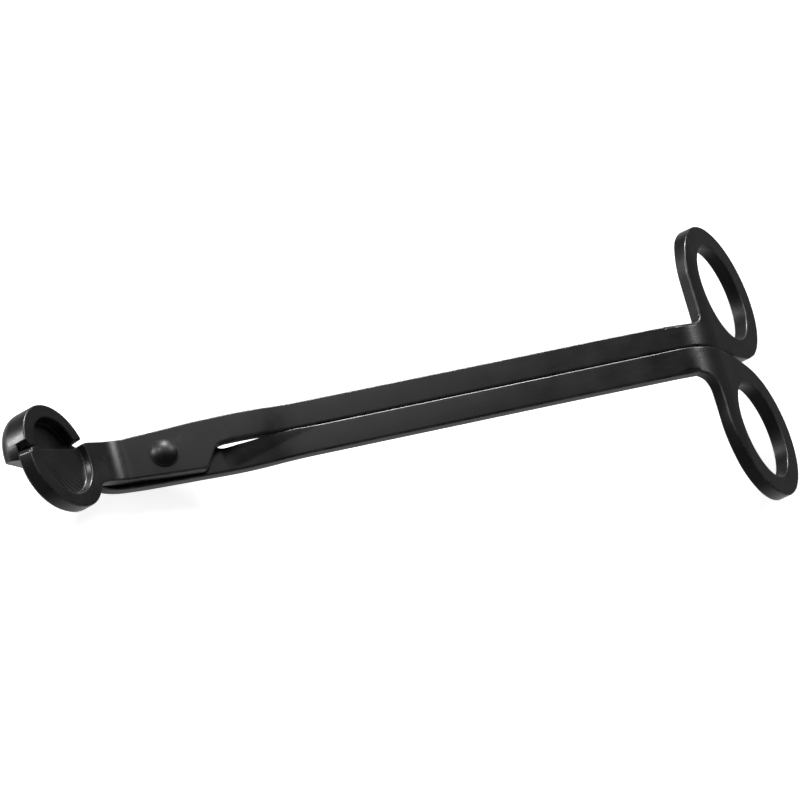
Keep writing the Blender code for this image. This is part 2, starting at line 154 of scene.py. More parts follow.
class LeverPath:
    """Front surface of a lever seen from the side, as straight and curved legs."""

    def __init__(self, height, right_legs, left_legs):
        self.height = height
        self.right_legs = right_legs
        self.left_legs = left_legs

    def at(self, x):
        """Point (u, w) and tangent angle at developed length x."""
        side = 1.0 if x >= 0.0 else -1.0
        legs = self.right_legs if x >= 0.0 else self.left_legs
        left_over = abs(x)
        u, w, angle = 0.0, self.height, 0.0
        for length, turn in legs:
            part = min(left_over, length)
            if abs(turn) < 1e-9:
                u += side * part * math.cos(angle)
                w += side * part * math.sin(angle)
            else:
                bend = turn / length
                end = angle + bend * part
                u += side * (math.sin(end) - math.sin(angle)) / bend
                w -= side * (math.cos(end) - math.cos(angle)) / bend
                angle = end
            left_over -= part
            if left_over <= 0.0:
                return u, w, angle
        u += side * left_over * math.cos(angle)
        w += side * left_over * math.sin(angle)
        return u, w, angle

    def place(self, x, v, h):
        u, w, angle = self.at(x)
        return to_row(Vector((u - h * math.sin(angle), v, w + h * math.cos(angle))))


def bend_legs(radius, angle):
    return radius * angle, radius * math.tan(angle / 2.0)


def make_path(height, joggle, head_at, head_radius):
    loop_arc, loop_tangent = bend_legs(LOOP_BEND_RADIUS, LOOP_BEND_ANGLE)
    head_arc, head_tangent = bend_legs(head_radius, HEAD_BEND_ANGLE)
    half = JOGGLE_LENGTH / 2.0
    turn = joggle / half
    run = LOOP_BEND_AT - loop_tangent - JOGGLE_START - JOGGLE_LENGTH
    right = [
        (JOGGLE_START, 0.0),
        (half, turn),
        (half, -turn),
        (run, 0.0),
        (loop_arc, -LOOP_BEND_ANGLE),
    ]
    left = [(-head_at - head_tangent, 0.0), (head_arc, -HEAD_BEND_ANGLE)]
    return LeverPath(height, right, left)


def head_x(s, head_at, head_radius):
    arc_length, tangent = bend_legs(head_radius, HEAD_BEND_ANGLE)
    return head_at - s + 2.0 * tangent - arc_length


def loop_x(s):
    arc_length, tangent = bend_legs(LOOP_BEND_RADIUS, LOOP_BEND_ANGLE)
    return LOOP_BEND_AT + s - 2.0 * tangent + arc_length


FRONT_HEIGHT = ARM_FRONT + (SHEET + SHEAR_GAP) / 2.0
BACK_HEIGHT = ARM_FRONT - (SHEET + SHEAR_GAP) / 2.0
LIFT = (BACK_HEIGHT - FRONT_HEIGHT) * math.cos(HEAD_BEND_ANGLE) + BACK_FLOOR_DROP
BACK_BEND_AT = HEAD_BEND_AT - LIFT / math.sin(HEAD_BEND_ANGLE)
BACK_SHIFT = (HEAD_BEND_AT - BACK_BEND_AT) * math.cos(HEAD_BEND_ANGLE)
BACK_SHIFT -= (FRONT_HEIGHT - BACK_HEIGHT) * math.sin(HEAD_BEND_ANGLE)


def front_head(s, v):
    return head_x(s, HEAD_BEND_AT, HEAD_BEND_RADIUS), v


def back_head(s, v):
    return head_x(s - BACK_SHIFT, BACK_BEND_AT, BACK_BEND_RADIUS), v


# Outline helpers ------------------------------------------------------------

def smooth(points, step=STEP):
    """Even samples of a curve through the points (Catmull-Rom), ends included."""
    rounded = []
    count = len(points)
    for i in range(count - 1):
        a = Vector(points[max(i - 1, 0)])
        b = Vector(points[i])
        c = Vector(points[i + 1])
        d = Vector(points[min(i + 2, count - 1)])
        pieces = max(1, int(math.ceil((c - b).length / step)))
        for k in range(pieces):
            t = k / pieces
            spot = 0.5 * (2 * b + (c - a) * t + (2 * a - 5 * b + 4 * c - d) * t * t
                          + (3 * b - a - 3 * c + d) * t * t * t)
            rounded.append((spot.x, spot.y))
    rounded.append(tuple(points[-1]))
    return rounded


def straight(first, last, step=STEP):
    a, b = Vector(first), Vector(last)
    pieces = max(1, int(math.ceil((b - a).length / step)))
    return [tuple(a.lerp(b, k / pieces)) for k in range(pieces + 1)]


def arc(centre, half_length, half_width, start, end, step=STEP, fullness=2.0):
    """Part of an oval between two angles; a fullness above 2 squares its shoulders."""
    sweep = math.radians(end - start)
    pieces = max(4, int(math.ceil(abs(sweep) * max(half_length, half_width) / step)))
    spots = []
    for k in range(pieces + 1):
        a = math.radians(start) + sweep * k / pieces
        c, s = math.cos(a), math.sin(a)
        spots.append((centre[0] + half_length * math.copysign(abs(c) ** (2.0 / fullness), c),
                      centre[1] + half_width * math.copysign(abs(s) ** (2.0 / fullness), s)))
    return spots


def join(*pieces, shortest=0.05):
    outline = []
    for piece in pieces:
        for spot in piece:
            if not outline or (Vector(spot) - Vector(outline[-1])).length > shortest:
                outline.append(tuple(spot))
    if (Vector(outline[0]) - Vector(outline[-1])).length < shortest:
        outline.pop()
    return outline


def counter_clockwise(outline):
    total = 0.0
    for i, (x, y) in enumerate(outline):
        x2, y2 = outline[(i + 1) % len(outline)]
        total += x * y2 - x2 * y
    return outline if total > 0 else outline[::-1]


def left_normals(outline):
    normals = []
    count = len(outline)
    for i in range(count):
        here = Vector(outline[i])
        first = (here - Vector(outline[i - 1])).normalized()
        second = (Vector(outline[(i + 1) % count]) - here).normalized()
        middle = (first + second).normalized()
        stretch = 1.0 / max(0.6, middle.dot(first))
        normals.append(Vector((-middle.y, middle.x)) * stretch)
    return normals


def inside(outline, x, y):
    odd = False
    for i in range(len(outline)):
        ax, ay = outline[i - 1]
        bx, by = outline[i]
        if (ay > y) != (by > y) and x < (bx - ax) * (y - ay) / (by - ay) + ax:
            odd = not odd
    return odd


def clearance(outline, x, y):
    return min((x - a) ** 2 + (y - b) ** 2 for a, b in outline) ** 0.5


def bend_rows(path):
    """Developed lengths where a lever needs rows of vertices to follow its bends."""
    rows = []
    for side, legs in ((1.0, path.right_legs), (-1.0, path.left_legs)):
        start = 0.0
        for length, turn in legs:
            if abs(turn) > 1e-9:
                count = max(6, int(round(abs(turn) / math.radians(3.5))))
                rows += [side * (start + length * k / count) for k in range(-1, count + 2)]
            start += length
    return rows


def ramp(value, table):
    """Piecewise-linear look-up in [(key, result), ...] with rising keys."""
    if value <= table[0][0]:
        return table[0][1]
    for (a, fa), (b, fb) in zip(table, table[1:]):
        if value <= b:
            return fa + (fb - fa) * (value - a) / (b - a)
    return table[-1][1]


def set_marks(mesh, name, values):
    marks = mesh.attributes.new(name, "FLOAT", "POINT")
    marks.data.foreach_set("value", values)


class Relief:
    """A wrapped plate whose front and back heights vary over its outline."""

    def __init__(self, name, path, front, back, front_round, back_round, back_lift=None):
        self.name = name
        self.path = path
        self.front = front
        self.back = back
        self.front_round = front_round
        self.back_round = back_round
        self.back_lift = back_lift
        self.vertices = []
        self.faces = []
        self.edge_marks = []
        self.tray_marks = []

    def add(self, x, v, h, mark):
        self.vertices.append(self.path.place(x, v, h))
        self.edge_marks.append(mark)
        on_tray_floor = TRAY_FLOOR_LOW < h < TRAY_FLOOR_HIGH and x < HEAD_START
        self.tray_marks.append(1.0 if on_tray_floor else 0.0)
        return len(self.vertices) - 1

    def ring_rows(self, ring, rounded):
        """Vertex rows from the front cap, down the side, to the back cap."""
        normals = left_normals(ring)
        rows = []
        for is_back in (False, True):
            steps = []
            for k in range(-1, ROUND_STEPS + 1):
                a = 0.5 * math.pi * max(k, 0) / ROUND_STEPS
                inset = 1.0 - math.sin(a) + (INNER_ROW if k < 0 else 0.0)
                steps.append((inset, 1.0 - math.cos(a), 0 < k < ROUND_STEPS))
            if is_back:
                steps.reverse()
            for inward, drop, marked in steps:
                row, spots = [], []
                for (x, v), normal in zip(ring, normals):
                    limit = self.back_round if is_back else self.front_round
                    r = limit(x, v) if rounded else BORE_ROUND
                    px, pv = x + normal.x * r * inward, v + normal.y * r * inward
                    if is_back and self.back_lift:
                        pv += self.back_lift(px, pv)
                    if is_back:
                        h = self.back(px, pv) + r * drop
                    else:
                        h = self.front(px, pv) - r * drop
                    row.append(self.add(px, pv, h, 1.0 if marked and rounded else 0.0))
                    spots.append((px, pv))
                rows.append((row, spots))
        return rows

    def cap(self, rings, height, is_back, lines, rows):
        """Triangulated face between the rings, through the given lines and rows."""
        spots, edges, known = [], [], []
        for row, ring in rings:
            start, count = len(spots), len(ring)
            spots += [Vector(spot) for spot in ring]
            edges += [(start + i, start + (i + 1) % count) for i in range(count)]
            known += row
        outer = rings[0][1]
        holes = [ring for _, ring in rings[1:]]

        def free(x, v, gap):
            if not inside(outer, x, v) or any(inside(ring, x, v) for ring in holes):
                return False
            return all(clearance(ring, x, v) > gap for ring in [outer] + holes)

        for line in lines:
            before = None
            for x, v in line:
                if free(x, v, LINE_CLEARANCE):
                    spots.append(Vector((x, v)))
                    if before is not None:
                        edges.append((before, len(spots) - 1))
                    before = len(spots) - 1
                else:
                    before = None
        low = min(v for _, v in outer)
        high = max(v for _, v in outer)
        for x in rows:
            v = low + ROW_START
            while v < high:
                if free(x, v, ROW_CLEARANCE):
                    spots.append(Vector((x, v)))
                v += ROW_STEP
        flat, _, triangles, origin, _, _ = delaunay_2d_cdt(spots, edges, [], 1, 1e-7)
        index = []
        for i, spot in enumerate(flat):
            if origin[i] and origin[i][0] < len(known):
                index.append(known[origin[i][0]])
            else:
                index.append(self.add(spot.x, spot.y, height(spot.x, spot.y), 0.0))
        for triangle in triangles:
            middle = sum((flat[i] for i in triangle), Vector((0.0, 0.0))) / 3.0
            if any(inside(ring, middle.x, middle.y) for ring in holes):
                continue
            corners = [index[i] for i in triangle]
            self.faces.append(corners[::-1] if is_back else corners)

    def build(self, outline, holes, bores, front_lines, back_lines):
        """Mesh object of the plate; the edges of its bores are only slightly rounded."""
        rings = [(counter_clockwise(outline), True)]
        rings += [(counter_clockwise(ring)[::-1], True) for ring in holes]
        rings += [(counter_clockwise(ring)[::-1], False) for ring in bores]
        fronts, backs = [], []
        for ring, rounded in rings:
            rows = self.ring_rows(ring, rounded)
            count = len(ring)
            for (upper, _), (lower, _) in zip(rows, rows[1:]):
                for i in range(count):
                    j = (i + 1) % count
                    self.faces.append((upper[j], upper[i], lower[i], lower[j]))
            fronts.append(rows[0])
            backs.append(rows[-1])
        bends = bend_rows(self.path)
        self.cap(fronts, self.front, False, front_lines, bends + ARM_ROWS)
        self.cap(backs, self.back, True, back_lines, bends)
        mesh = bpy.data.meshes.new(self.name)
        mesh.from_pydata(self.vertices, [], self.faces)
        mesh.validate()
        set_marks(mesh, "edge_mark", self.edge_marks)
        set_marks(mesh, "tray_mark", self.tray_marks)
        for polygon in mesh.polygons:
            polygon.use_smooth = True
        thing = bpy.data.objects.new(self.name, mesh)
        bpy.context.collection.objects.link(thing)
        weighted = thing.modifiers.new("Weighted normals", "WEIGHTED_NORMAL")
        weighted.mode = "FACE_AREA"
        weighted.weight = 60
        weighted.keep_sharp = True
        return thing


# Levers ----------------------------------------------------------------------

def loop_outline(side, width, corner_round):
    """Outside of a finger loop, from the arm's outer edge round to the seam."""
    root = LOOP_CENTRE[0] - LOOP_HALF_LENGTH
    c = corner_round
    corner = [(root - 1.6 * c, width), (root - 0.75 * c, width + 0.35 * c),
              (root - 0.12 * c, width + 1.1 * c), (root, width + 2.4 * c)]
    around = arc(LOOP_CENTRE, LOOP_HALF_LENGTH, LOOP_HALF_WIDTH, 180.0, -58.0, 1.6)
    toe = [(21.2, 1.5), (17.0, 0.6), (13.0, SEAM_GAP / 2.0)]
    return smooth([(loop_x(s), side * v) for s, v in corner + around + toe])


def loop_hole(side):
    ring = arc(HOLE_CENTRE, HOLE_HALF_LENGTH, HOLE_HALF_WIDTH, 0.0, 360.0)
    return [(loop_x(s), side * v) for s, v in ring[:-1]]


def bore():
    return arc((0.0, 0.0), BORE_RADIUS, BORE_RADIUS, 0.0, 360.0, 0.3)[:-1]


def sheet_depth(x):
    """Sheet thickness, eased up from the arm to the loop."""
    share = min(1.0, max(0.0, (x - LOOP_BEND_AT + 4.0) / 8.0))
    share = share * share * (3.0 - 2.0 * share)
    return SHEET + (LOOP_SHEET - SHEET) * share


def cut_line(s):
    return CUT_POINT[1] + CUT_SLOPE * (s - CUT_POINT[0])


def rim_line(s):
    """Where the raised rim of the back jaw ends: a straight cut, chamfered at the tip."""
    across = RIM_END_POINT[1] + RIM_END_SLOPE * (s - RIM_END_POINT[0])
    return max(across, RIM_TIP_POINT[1] + RIM_TIP_SLOPE * (s - RIM_TIP_POINT[0]))


def crown(x, v, middle, half_width):
    """Slight rounding of an arm's front face across its width."""
    beyond_head = min(1.0, max(0.0, (x - HEAD_START) / 4.0))
    before_bend = min(1.0, max(0.0, (LOOP_BEND_AT - 4.0 - x) / 40.0))
    share = beyond_head * before_bend
    return -CROWN * share * min(1.0, abs(v - middle) / half_width) ** 2.5


def crease_line(x):
    """Slanting crease of the back lever's face, from which the facet turns up."""
    return CREASE_POINT[1] + CREASE_SLOPE * (x - CREASE_POINT[0])


def facet_rise(x, v):
    """The joggle's facet: the back lever's face turns up beyond a slanting crease."""
    beyond = v - crease_line(x)
    slope = FACET_SLOPE * ramp(x, FACET_ALONG)
    eased = math.sqrt(max(0.0, beyond) ** 2 + FACET_SOFTNESS ** 2)
    return slope * eased - slope * FACET_SOFTNESS


def bend_edges(side):
    """Extra rows beside the long edges, which keep the shading of the loop's bend even."""
    lines = []
    for v in BEND_EDGE_ROWS:
        line = straight((96.0, 0.0), (122.0, 0.0), 0.5)
        lines.append([(x, side * v) for x, _ in line])
    return lines


def circles(centre, radii, head, step):
    lines = []
    for radius in radii:
        ring = arc(centre, radius, radius, 0.0, 360.0, step)
        lines.append([head(s, v) for s, v in ring])
    return lines


# Profiles of the jaws' walls: distance outwards and height of the surface there
FRONT_WALL = [
    (-0.8, -FRONT_RECESS), (-0.66, -FRONT_RECESS + 0.02), (-0.54, -FRONT_RECESS + 0.12),
    (-0.46, -FRONT_RECESS + 0.26), (-0.1, -0.3), (-0.02, -0.14), (0.1, -0.04), (0.25, 0.0),
    (0.6, 0.0),
]
BACK_WALL = [
    (-0.3, 0.0), (-0.15, 0.04), (-0.07, 0.15), (-0.02, 0.35),
    (-0.01, BACK_RIM_HEIGHT - 0.45), (0.0, BACK_RIM_HEIGHT - 0.2),
    (0.12, BACK_RIM_HEIGHT - 0.06), (0.28, BACK_RIM_HEIGHT), (0.6, BACK_RIM_HEIGHT),
]
RIM_END = [(0.0, 0.0), (0.05, BACK_RIM_HEIGHT - 0.35), (0.14, BACK_RIM_HEIGHT - 0.1),
           (0.32, BACK_RIM_HEIGHT), (0.6, BACK_RIM_HEIGHT)]


FRONT_PATH = make_path(FRONT_HEIGHT, -(SHEET + SHEAR_GAP) / 2.0, HEAD_BEND_AT, HEAD_BEND_RADIUS)


def front_lever():
    """Lever on top at the rivet: arm, finger loop and the tray with the cutting edge."""
    head = front_head
    seam = SEAM_GAP / 2.0
    top = smooth([
        (112.0, UPPER_WIDTH), (100.0, 5.75), (90.0, 5.8), (60.0, 5.88), (31.0, 6.0),
        (20.0, 6.0), (13.6, 5.95), (7.0, 5.85), (2.5, 5.65), (-1.9, 5.45), (-6.3, 5.3),
        head(1.0, 5.0), head(3.5, 4.5), head(6.2, 3.95), head(8.6, 3.45), head(10.4, 2.75),
        head(*CUT_POINT),
    ])
    tip_s = 28.7
    edge = straight(head(*CUT_POINT), head(tip_s, cut_line(tip_s)), 0.3)
    corner = smooth([head(tip_s, cut_line(tip_s)), head(29.3, -1.45), head(29.62, -2.2)], 0.25)
    rim = arc(FRONT_JAW_CENTRE, FRONT_JAW_RADIUS, FRONT_JAW_HALF_WIDTH, 0.0, -152.0,
              STEP, FRONT_JAW_FULLNESS)
    rim = [head(s, v) for s, v in rim]
    bottom = smooth([rim[-1], head(6.9, -6.3), head(5.3, -5.45), head(3.1, -4.8), head(0.6, -4.35),
                     (-8.7, -4.3), (-4.4, -4.55), (-0.1, -4.85), (6.3, -5.2), (7.7, -5.3)])
    notch = smooth([
        (7.7, -5.3), (8.25, -5.05), (8.7, -4.5), (10.2, -2.05), (11.0, -0.9), (11.7, -0.3),
        (12.8, -0.05), (14.5, 0.0), (20.8, 0.05), (27.3, 0.1), (33.0, seam),
    ], 0.35)
    run = straight((33.0, seam), (loop_x(13.0), seam))
    loop = loop_outline(1.0, UPPER_WIDTH, UPPER_CORNER)[::-1]
    outline = join(top, edge, corner, rim, bottom, notch, run, loop)
    limit = head(4.0, 0.0)[0]

    def spot_of(x, v):
        return head_x(0.0, HEAD_BEND_AT, HEAD_BEND_RADIUS) - x, v

    def front(x, v):
        if x > 14.0:
            return crown(x, v, 3.0, 3.0)
        if x > limit:
            return crown(x, v, 0.5, 5.6)
        s, v = spot_of(x, v)
        r = math.hypot(s - FRONT_BOWL_CENTRE[0], v - FRONT_BOWL_CENTRE[1]) - FRONT_BOWL_RADIUS
        return ramp(r, FRONT_WALL)

    def back(x, v):
        if x > limit + 6.0:
            return -sheet_depth(x)
        s, v = spot_of(x, v)
        r = math.hypot(s - FRONT_JAW_CENTRE[0], v - FRONT_JAW_CENTRE[1]) - FRONT_JAW_RADIUS
        share = min(1.0, max(0.0, (r - 0.1) / 1.5))
        share = share * share * (3.0 - 2.0 * share)
        return -FRONT_JAW_DEPTH + (FRONT_JAW_DEPTH - SHEET) * share

    def front_round(x, v):
        s, v = spot_of(x, v)
        if s > 8.0 and v > cut_line(s) - 0.05:
            return ramp(s, [(9.0, EDGE_ROUND), (11.0, 0.1), (28.3, 0.1), (29.2, 0.35)])
        return EDGE_ROUND

    def back_round(x, v):
        s, v = spot_of(x, v)
        if s > 8.0 and v > cut_line(s) - 0.05:
            return 0.1
        if s > 6.0:
            return ramp(s, [(6.0, EDGE_ROUND), (9.0, 0.8)])
        return EDGE_ROUND

    def back_lift(x, v):
        s, v = spot_of(x, v)
        along = ramp(s, [(25.5, 0.0), (28.3, TIP_LIFT)])
        return along * ramp(v, [(-5.5, 0.0), (-2.2, 1.0)])

    relief = Relief("Front_Lever_Body", FRONT_PATH, front, back, front_round, back_round,
                    back_lift)
    wall_radii = [FRONT_BOWL_RADIUS + dr for dr, _ in FRONT_WALL]
    walls = circles(FRONT_BOWL_CENTRE, wall_radii, head, 0.45)
    floor_rings = circles(FRONT_BOWL_CENTRE, [7.0, 5.8, 4.6, 3.4, 2.2, 1.0], head, 0.9)
    under_radii = [FRONT_JAW_RADIUS + dr for dr in (0.1, 0.4, 0.85, 1.3, 1.6)]
    under = circles(FRONT_JAW_CENTRE, under_radii, head, 0.6)
    front_lines = walls + floor_rings + bend_edges(1.0)
    return relief.build(outline, [loop_hole(1.0)], [bore()], front_lines, under)


def back_lever():
    """Lever underneath at the rivet: arm, finger loop and the deep cup."""
    path = make_path(BACK_HEIGHT, (SHEET + SHEAR_GAP) / 2.0, BACK_BEND_AT, BACK_BEND_RADIUS)
    head = back_head
    seam = SEAM_GAP / 2.0
    cx, cv = BACK_JAW_CENTRE
    low = smooth([
        (112.0, -LOWER_WIDTH), (90.0, -6.05), (60.0, -6.1), (31.0, -6.15), (20.0, -6.1),
        (13.0, -6.0), (6.7, -5.8), (-4.2, -5.45), (-8.5, -5.2), (-12.0, -4.9),
        head(1.0, -4.55), head(3.6, -3.7), head(6.2, -2.2), head(8.2, -1.7),
        head(10.0, -2.2), head(12.0, BACK_FLOOR_EDGE),
    ])
    start_v = BACK_FLOOR_EDGE + 0.5
    start = math.degrees(math.asin((start_v - cv) / BACK_JAW_RADIUS))
    start_s = cx + BACK_JAW_RADIUS * math.cos(math.radians(start))
    edge = straight(head(12.0, BACK_FLOOR_EDGE), head(start_s - 0.6, BACK_FLOOR_EDGE), 0.4)
    corner_middle = head(start_s - 0.22, BACK_FLOOR_EDGE + 0.13)
    corner = smooth([edge[-1], corner_middle, head(start_s, start_v)], 0.2)
    foot_v = 4.75
    finish_angle = 180.0 - math.degrees(math.asin((foot_v - cv) / BACK_JAW_RADIUS))
    rim_foot = math.degrees(math.asin((rim_line(28.8) - cv) / BACK_JAW_RADIUS))
    stretches = (
        (start, rim_foot - 2.0, 0.4),
        (rim_foot - 2.0, rim_foot + 5.0, 0.07),
        (rim_foot + 5.0, finish_angle - 4.0, 0.45),
        (finish_angle - 4.0, finish_angle, 0.07),
    )
    rim = []
    for first, last, step in stretches:
        rim += arc(BACK_JAW_CENTRE, BACK_JAW_RADIUS, BACK_JAW_RADIUS, first, last, step)
    rim = [head(s, v) for s, v in rim]
    neck = smooth([
        rim[-1], head(8.72, 4.45), head(8.2, 4.25), head(6.0, 4.4), head(3.0, 4.5),
        (-10.0, 4.6), (-4.0, 4.75), (2.0, 5.0), (7.2, 5.1),
    ], 0.4)
    notch = smooth([
        (7.2, 5.1), (7.8, 4.85), (8.2, 4.4), (9.8, 1.95), (10.9, 0.65), (11.9, -0.1),
        (13.0, -0.48), (14.5, -0.58), (16.5, -0.52), (19.0, -0.36), (21.5, -0.18),
        (25.0, -0.1), (29.0, -seam), (33.0, -seam),
    ], 0.35)
    run = straight((33.0, -seam), (loop_x(13.0), -seam))
    loop = loop_outline(-1.0, LOWER_WIDTH, LOWER_CORNER)[::-1]
    outline = join(low, edge, corner, rim, neck, notch, run, loop)
    zero = head(0.0, 0.0)[0]
    limit = head(5.0, 0.0)[0]

    def front(x, v):
        if x > limit:
            return crown(x, v, -3.2, 3.0) + facet_rise(x, v)
        s = zero - x
        if math.hypot(s - cx, v - cv) > BACK_JAW_RADIUS + 0.6:
            return 0.0
        r = math.hypot(s - BACK_BOWL_CENTRE[0], v - BACK_BOWL_CENTRE[1])
        wall = ramp(r - BACK_BOWL_RADIUS, BACK_WALL)
        end = ramp(v - rim_line(s), RIM_END)
        return min(wall, end)

    def back(x, v):
        if x > limit:
            return -sheet_depth(x)
        s = zero - x
        depth = BACK_JAW_RADIUS - math.hypot(s - cx, v - cv)
        if depth < -0.3:
            return -SHEET
        below_cut = v - BACK_FLOOR_EDGE
        if depth > BACK_BOTTOM_ROUND:
            disc = -BACK_JAW_BOTTOM
        else:
            lost = BACK_BOTTOM_ROUND - max(depth, 0.0)
            drop = math.sqrt(max(0.0, BACK_BOTTOM_ROUND ** 2 - lost ** 2))
            disc = -BACK_JAW_BOTTOM + BACK_BOTTOM_ROUND - drop
        disc = max(disc, -0.5 - max(0.0, below_cut) / CUT_FACE_LEAN)
        neck_share = ramp(s, [(7.5, 1.0), (9.5, 0.0)])
        return min(disc, -SHEET * neck_share) if neck_share > 0.0 else disc

    def front_round(x, v):
        s = zero - x
        if s > 8.0 and v < rim_line(s) + 0.3:
            return 0.08
        if 10.0 < x < 30.0 and v > -1.0:
            return 0.2
        return EDGE_ROUND

    def back_round(x, v):
        return 0.25 if zero - x > 8.0 else EDGE_ROUND

    relief = Relief("Back_Lever_Body", path, front, back, front_round, back_round)
    wall_radii = [BACK_BOWL_RADIUS + dr for dr, _ in BACK_WALL]
    walls = circles(BACK_BOWL_CENTRE, wall_radii, head, 0.45)
    ends = []
    for distance, _ in RIM_END:
        line = straight((8.0, 0.0), (30.0, 0.0), 0.35)
        ends.append([head(s, rim_line(s) + distance) for s, _ in line])
    insets = (0.35, 0.6, 0.9, 1.3, 1.8, 2.4, 3.0, 3.5)
    under = circles(BACK_JAW_CENTRE, [BACK_JAW_RADIUS - dr for dr in insets], head, 0.5)
    for rise in (0.3, 0.6, 0.9, 1.2, 1.45, 1.8):
        line = straight((10.0, 0.0), (29.6, 0.0), 0.5)
        under.append([head(s, BACK_FLOOR_EDGE + rise) for s, _ in line])
    creases = []
    for beyond in (-0.5, 0.0, 0.5, 1.2):
        line = straight((10.0, 0.0), (36.0, 0.0), 0.8)
        creases.append([(x, crease_line(x) + beyond) for x, _ in line])
    front_lines = walls + ends + creases + bend_edges(-1.0)
    return relief.build(outline, [loop_hole(-1.0)], [bore()], front_lines, under)


def rivet():
    """Domed head with a rolled edge, shank and closed tail, as one turned body."""
    top = FRONT_HEIGHT + 0.02
    bottom = BACK_HEIGHT - SHEET - 0.02
    ball = (HEAD_RADIUS ** 2 + HEAD_HEIGHT ** 2) / (2.0 * HEAD_HEIGHT)
    edge = math.asin(HEAD_RADIUS / ball)
    profile = []
    for k in range(1, 15):
        a = edge * k / 15.0
        profile.append((ball * math.sin(a), top + HEAD_HEIGHT - ball * (1.0 - math.cos(a))))
    profile += [
        (HEAD_RADIUS - 0.02, top + 0.35), (HEAD_RADIUS, top + 0.1), (HEAD_RADIUS - 0.06, top),
        (SHANK_RADIUS, top), (SHANK_RADIUS, bottom), (TAIL_RADIUS - 0.05, bottom),
        (TAIL_RADIUS, bottom - 0.08), (TAIL_RADIUS - 0.05, bottom - 0.3),
        (TAIL_RADIUS - 0.3, bottom - 0.55), (TAIL_RADIUS - 0.8, bottom - TAIL_HEIGHT),
        (0.8, bottom - TAIL_HEIGHT),
    ]
    vertices = [to_row(Vector((0.0, 0.0, top + HEAD_HEIGHT)))]
    faces = []
    for radius, height in profile:
        for k in range(RIVET_FACETS):
            a = 2.0 * math.pi * k / RIVET_FACETS
            vertices.append(to_row(Vector((radius * math.cos(a), radius * math.sin(a), height))))
    for i in range(RIVET_FACETS):
        j = (i + 1) % RIVET_FACETS
        faces.append((0, 1 + i, 1 + j))
        for row in range(len(profile) - 1):
            a, b = 1 + row * RIVET_FACETS, 1 + (row + 1) * RIVET_FACETS
            faces.append((a + j, a + i, b + i, b + j))
    faces.append([1 + (len(profile) - 1) * RIVET_FACETS + i for i in reversed(range(RIVET_FACETS))])
    mesh = bpy.data.meshes.new("Pivot_Rivet_Body")
    mesh.from_pydata(vertices, [], faces)
    mesh.polygons.foreach_set("use_smooth", [True] * len(mesh.polygons))
    thing = bpy.data.objects.new("Pivot_Rivet_Body", mesh)
    bpy.context.collection.objects.link(thing)
    sharp = thing.modifiers.new("Weighted normals", "WEIGHTED_NORMAL")
    sharp.weight = 50
    return thing


# Materials --------------------------------------------------------------------

def noise(tree, vector, scale, detail, roughness=0.5):
    node = tree.nodes.new("ShaderNodeTexNoise")
    node.inputs["Scale"].default_value = scale
    node.inputs["Detail"].default_value = detail
    node.inputs["Roughness"].default_value = roughness
    tree.links.new(vector, node.inputs["Vector"])
    return node.outputs["Fac"]


def stretched(tree, vector, scales):
    node = tree.nodes.new("ShaderNodeMapping")
    node.inputs["Scale"].default_value = scales
    tree.links.new(vector, node.inputs["Vector"])
    return node.outputs["Vector"]


def math_node(tree, operation, first, second, third=None):
    """A Math node; each entry is a socket or a number."""
    node = tree.nodes.new("ShaderNodeMath")
    node.operation = operation
    for place, entry in enumerate((first, second, third)):
        if isinstance(entry, (int, float)):
            node.inputs[place].default_value = entry
        elif entry is not None:
            tree.links.new(entry, node.inputs[place])
    return node.outputs["Value"]


def point_mark(tree, name):
    node = tree.nodes.new("ShaderNodeAttribute")
    node.attribute_name = name
    return node.outputs["Fac"]


def grinding_rings(tree, vector):
    """Faint concentric tool marks on the floor of the front jaw's tray."""
    centre = FRONT_PATH.place(head_x(10.5, HEAD_BEND_AT, HEAD_BEND_RADIUS), 4.0, -FRONT_RECESS)
    away = tree.nodes.new("ShaderNodeVectorMath")
    away.operation = "DISTANCE"
    away.inputs[1].default_value = centre
    tree.links.new(vector, away.inputs[0])
    uneven = noise(tree, vector, 420.0, 2.0)
    wobble = math_node(tree, "MULTIPLY_ADD", uneven, 0.0004, away.outputs["Value"])
    turns = math_node(tree, "MULTIPLY", wobble, 2.0 * math.pi / RING_SPACING)
    wave = math_node(tree, "SINE", turns, 0.0)
    fade = tree.nodes.new("ShaderNodeMapRange")
    fade.inputs["From Min"].default_value = RING_FADE[0]
    fade.inputs["From Max"].default_value = RING_FADE[1]
    tree.links.new(away.outputs["Value"], fade.inputs["Value"])
    patchy = math_node(tree, "MULTIPLY", fade.outputs["Result"], noise(tree, vector, 240.0, 2.0))
    deep = math_node(tree, "MULTIPLY", wave, patchy)
    return math_node(tree, "MULTIPLY", deep, point_mark(tree, "tray_mark"))


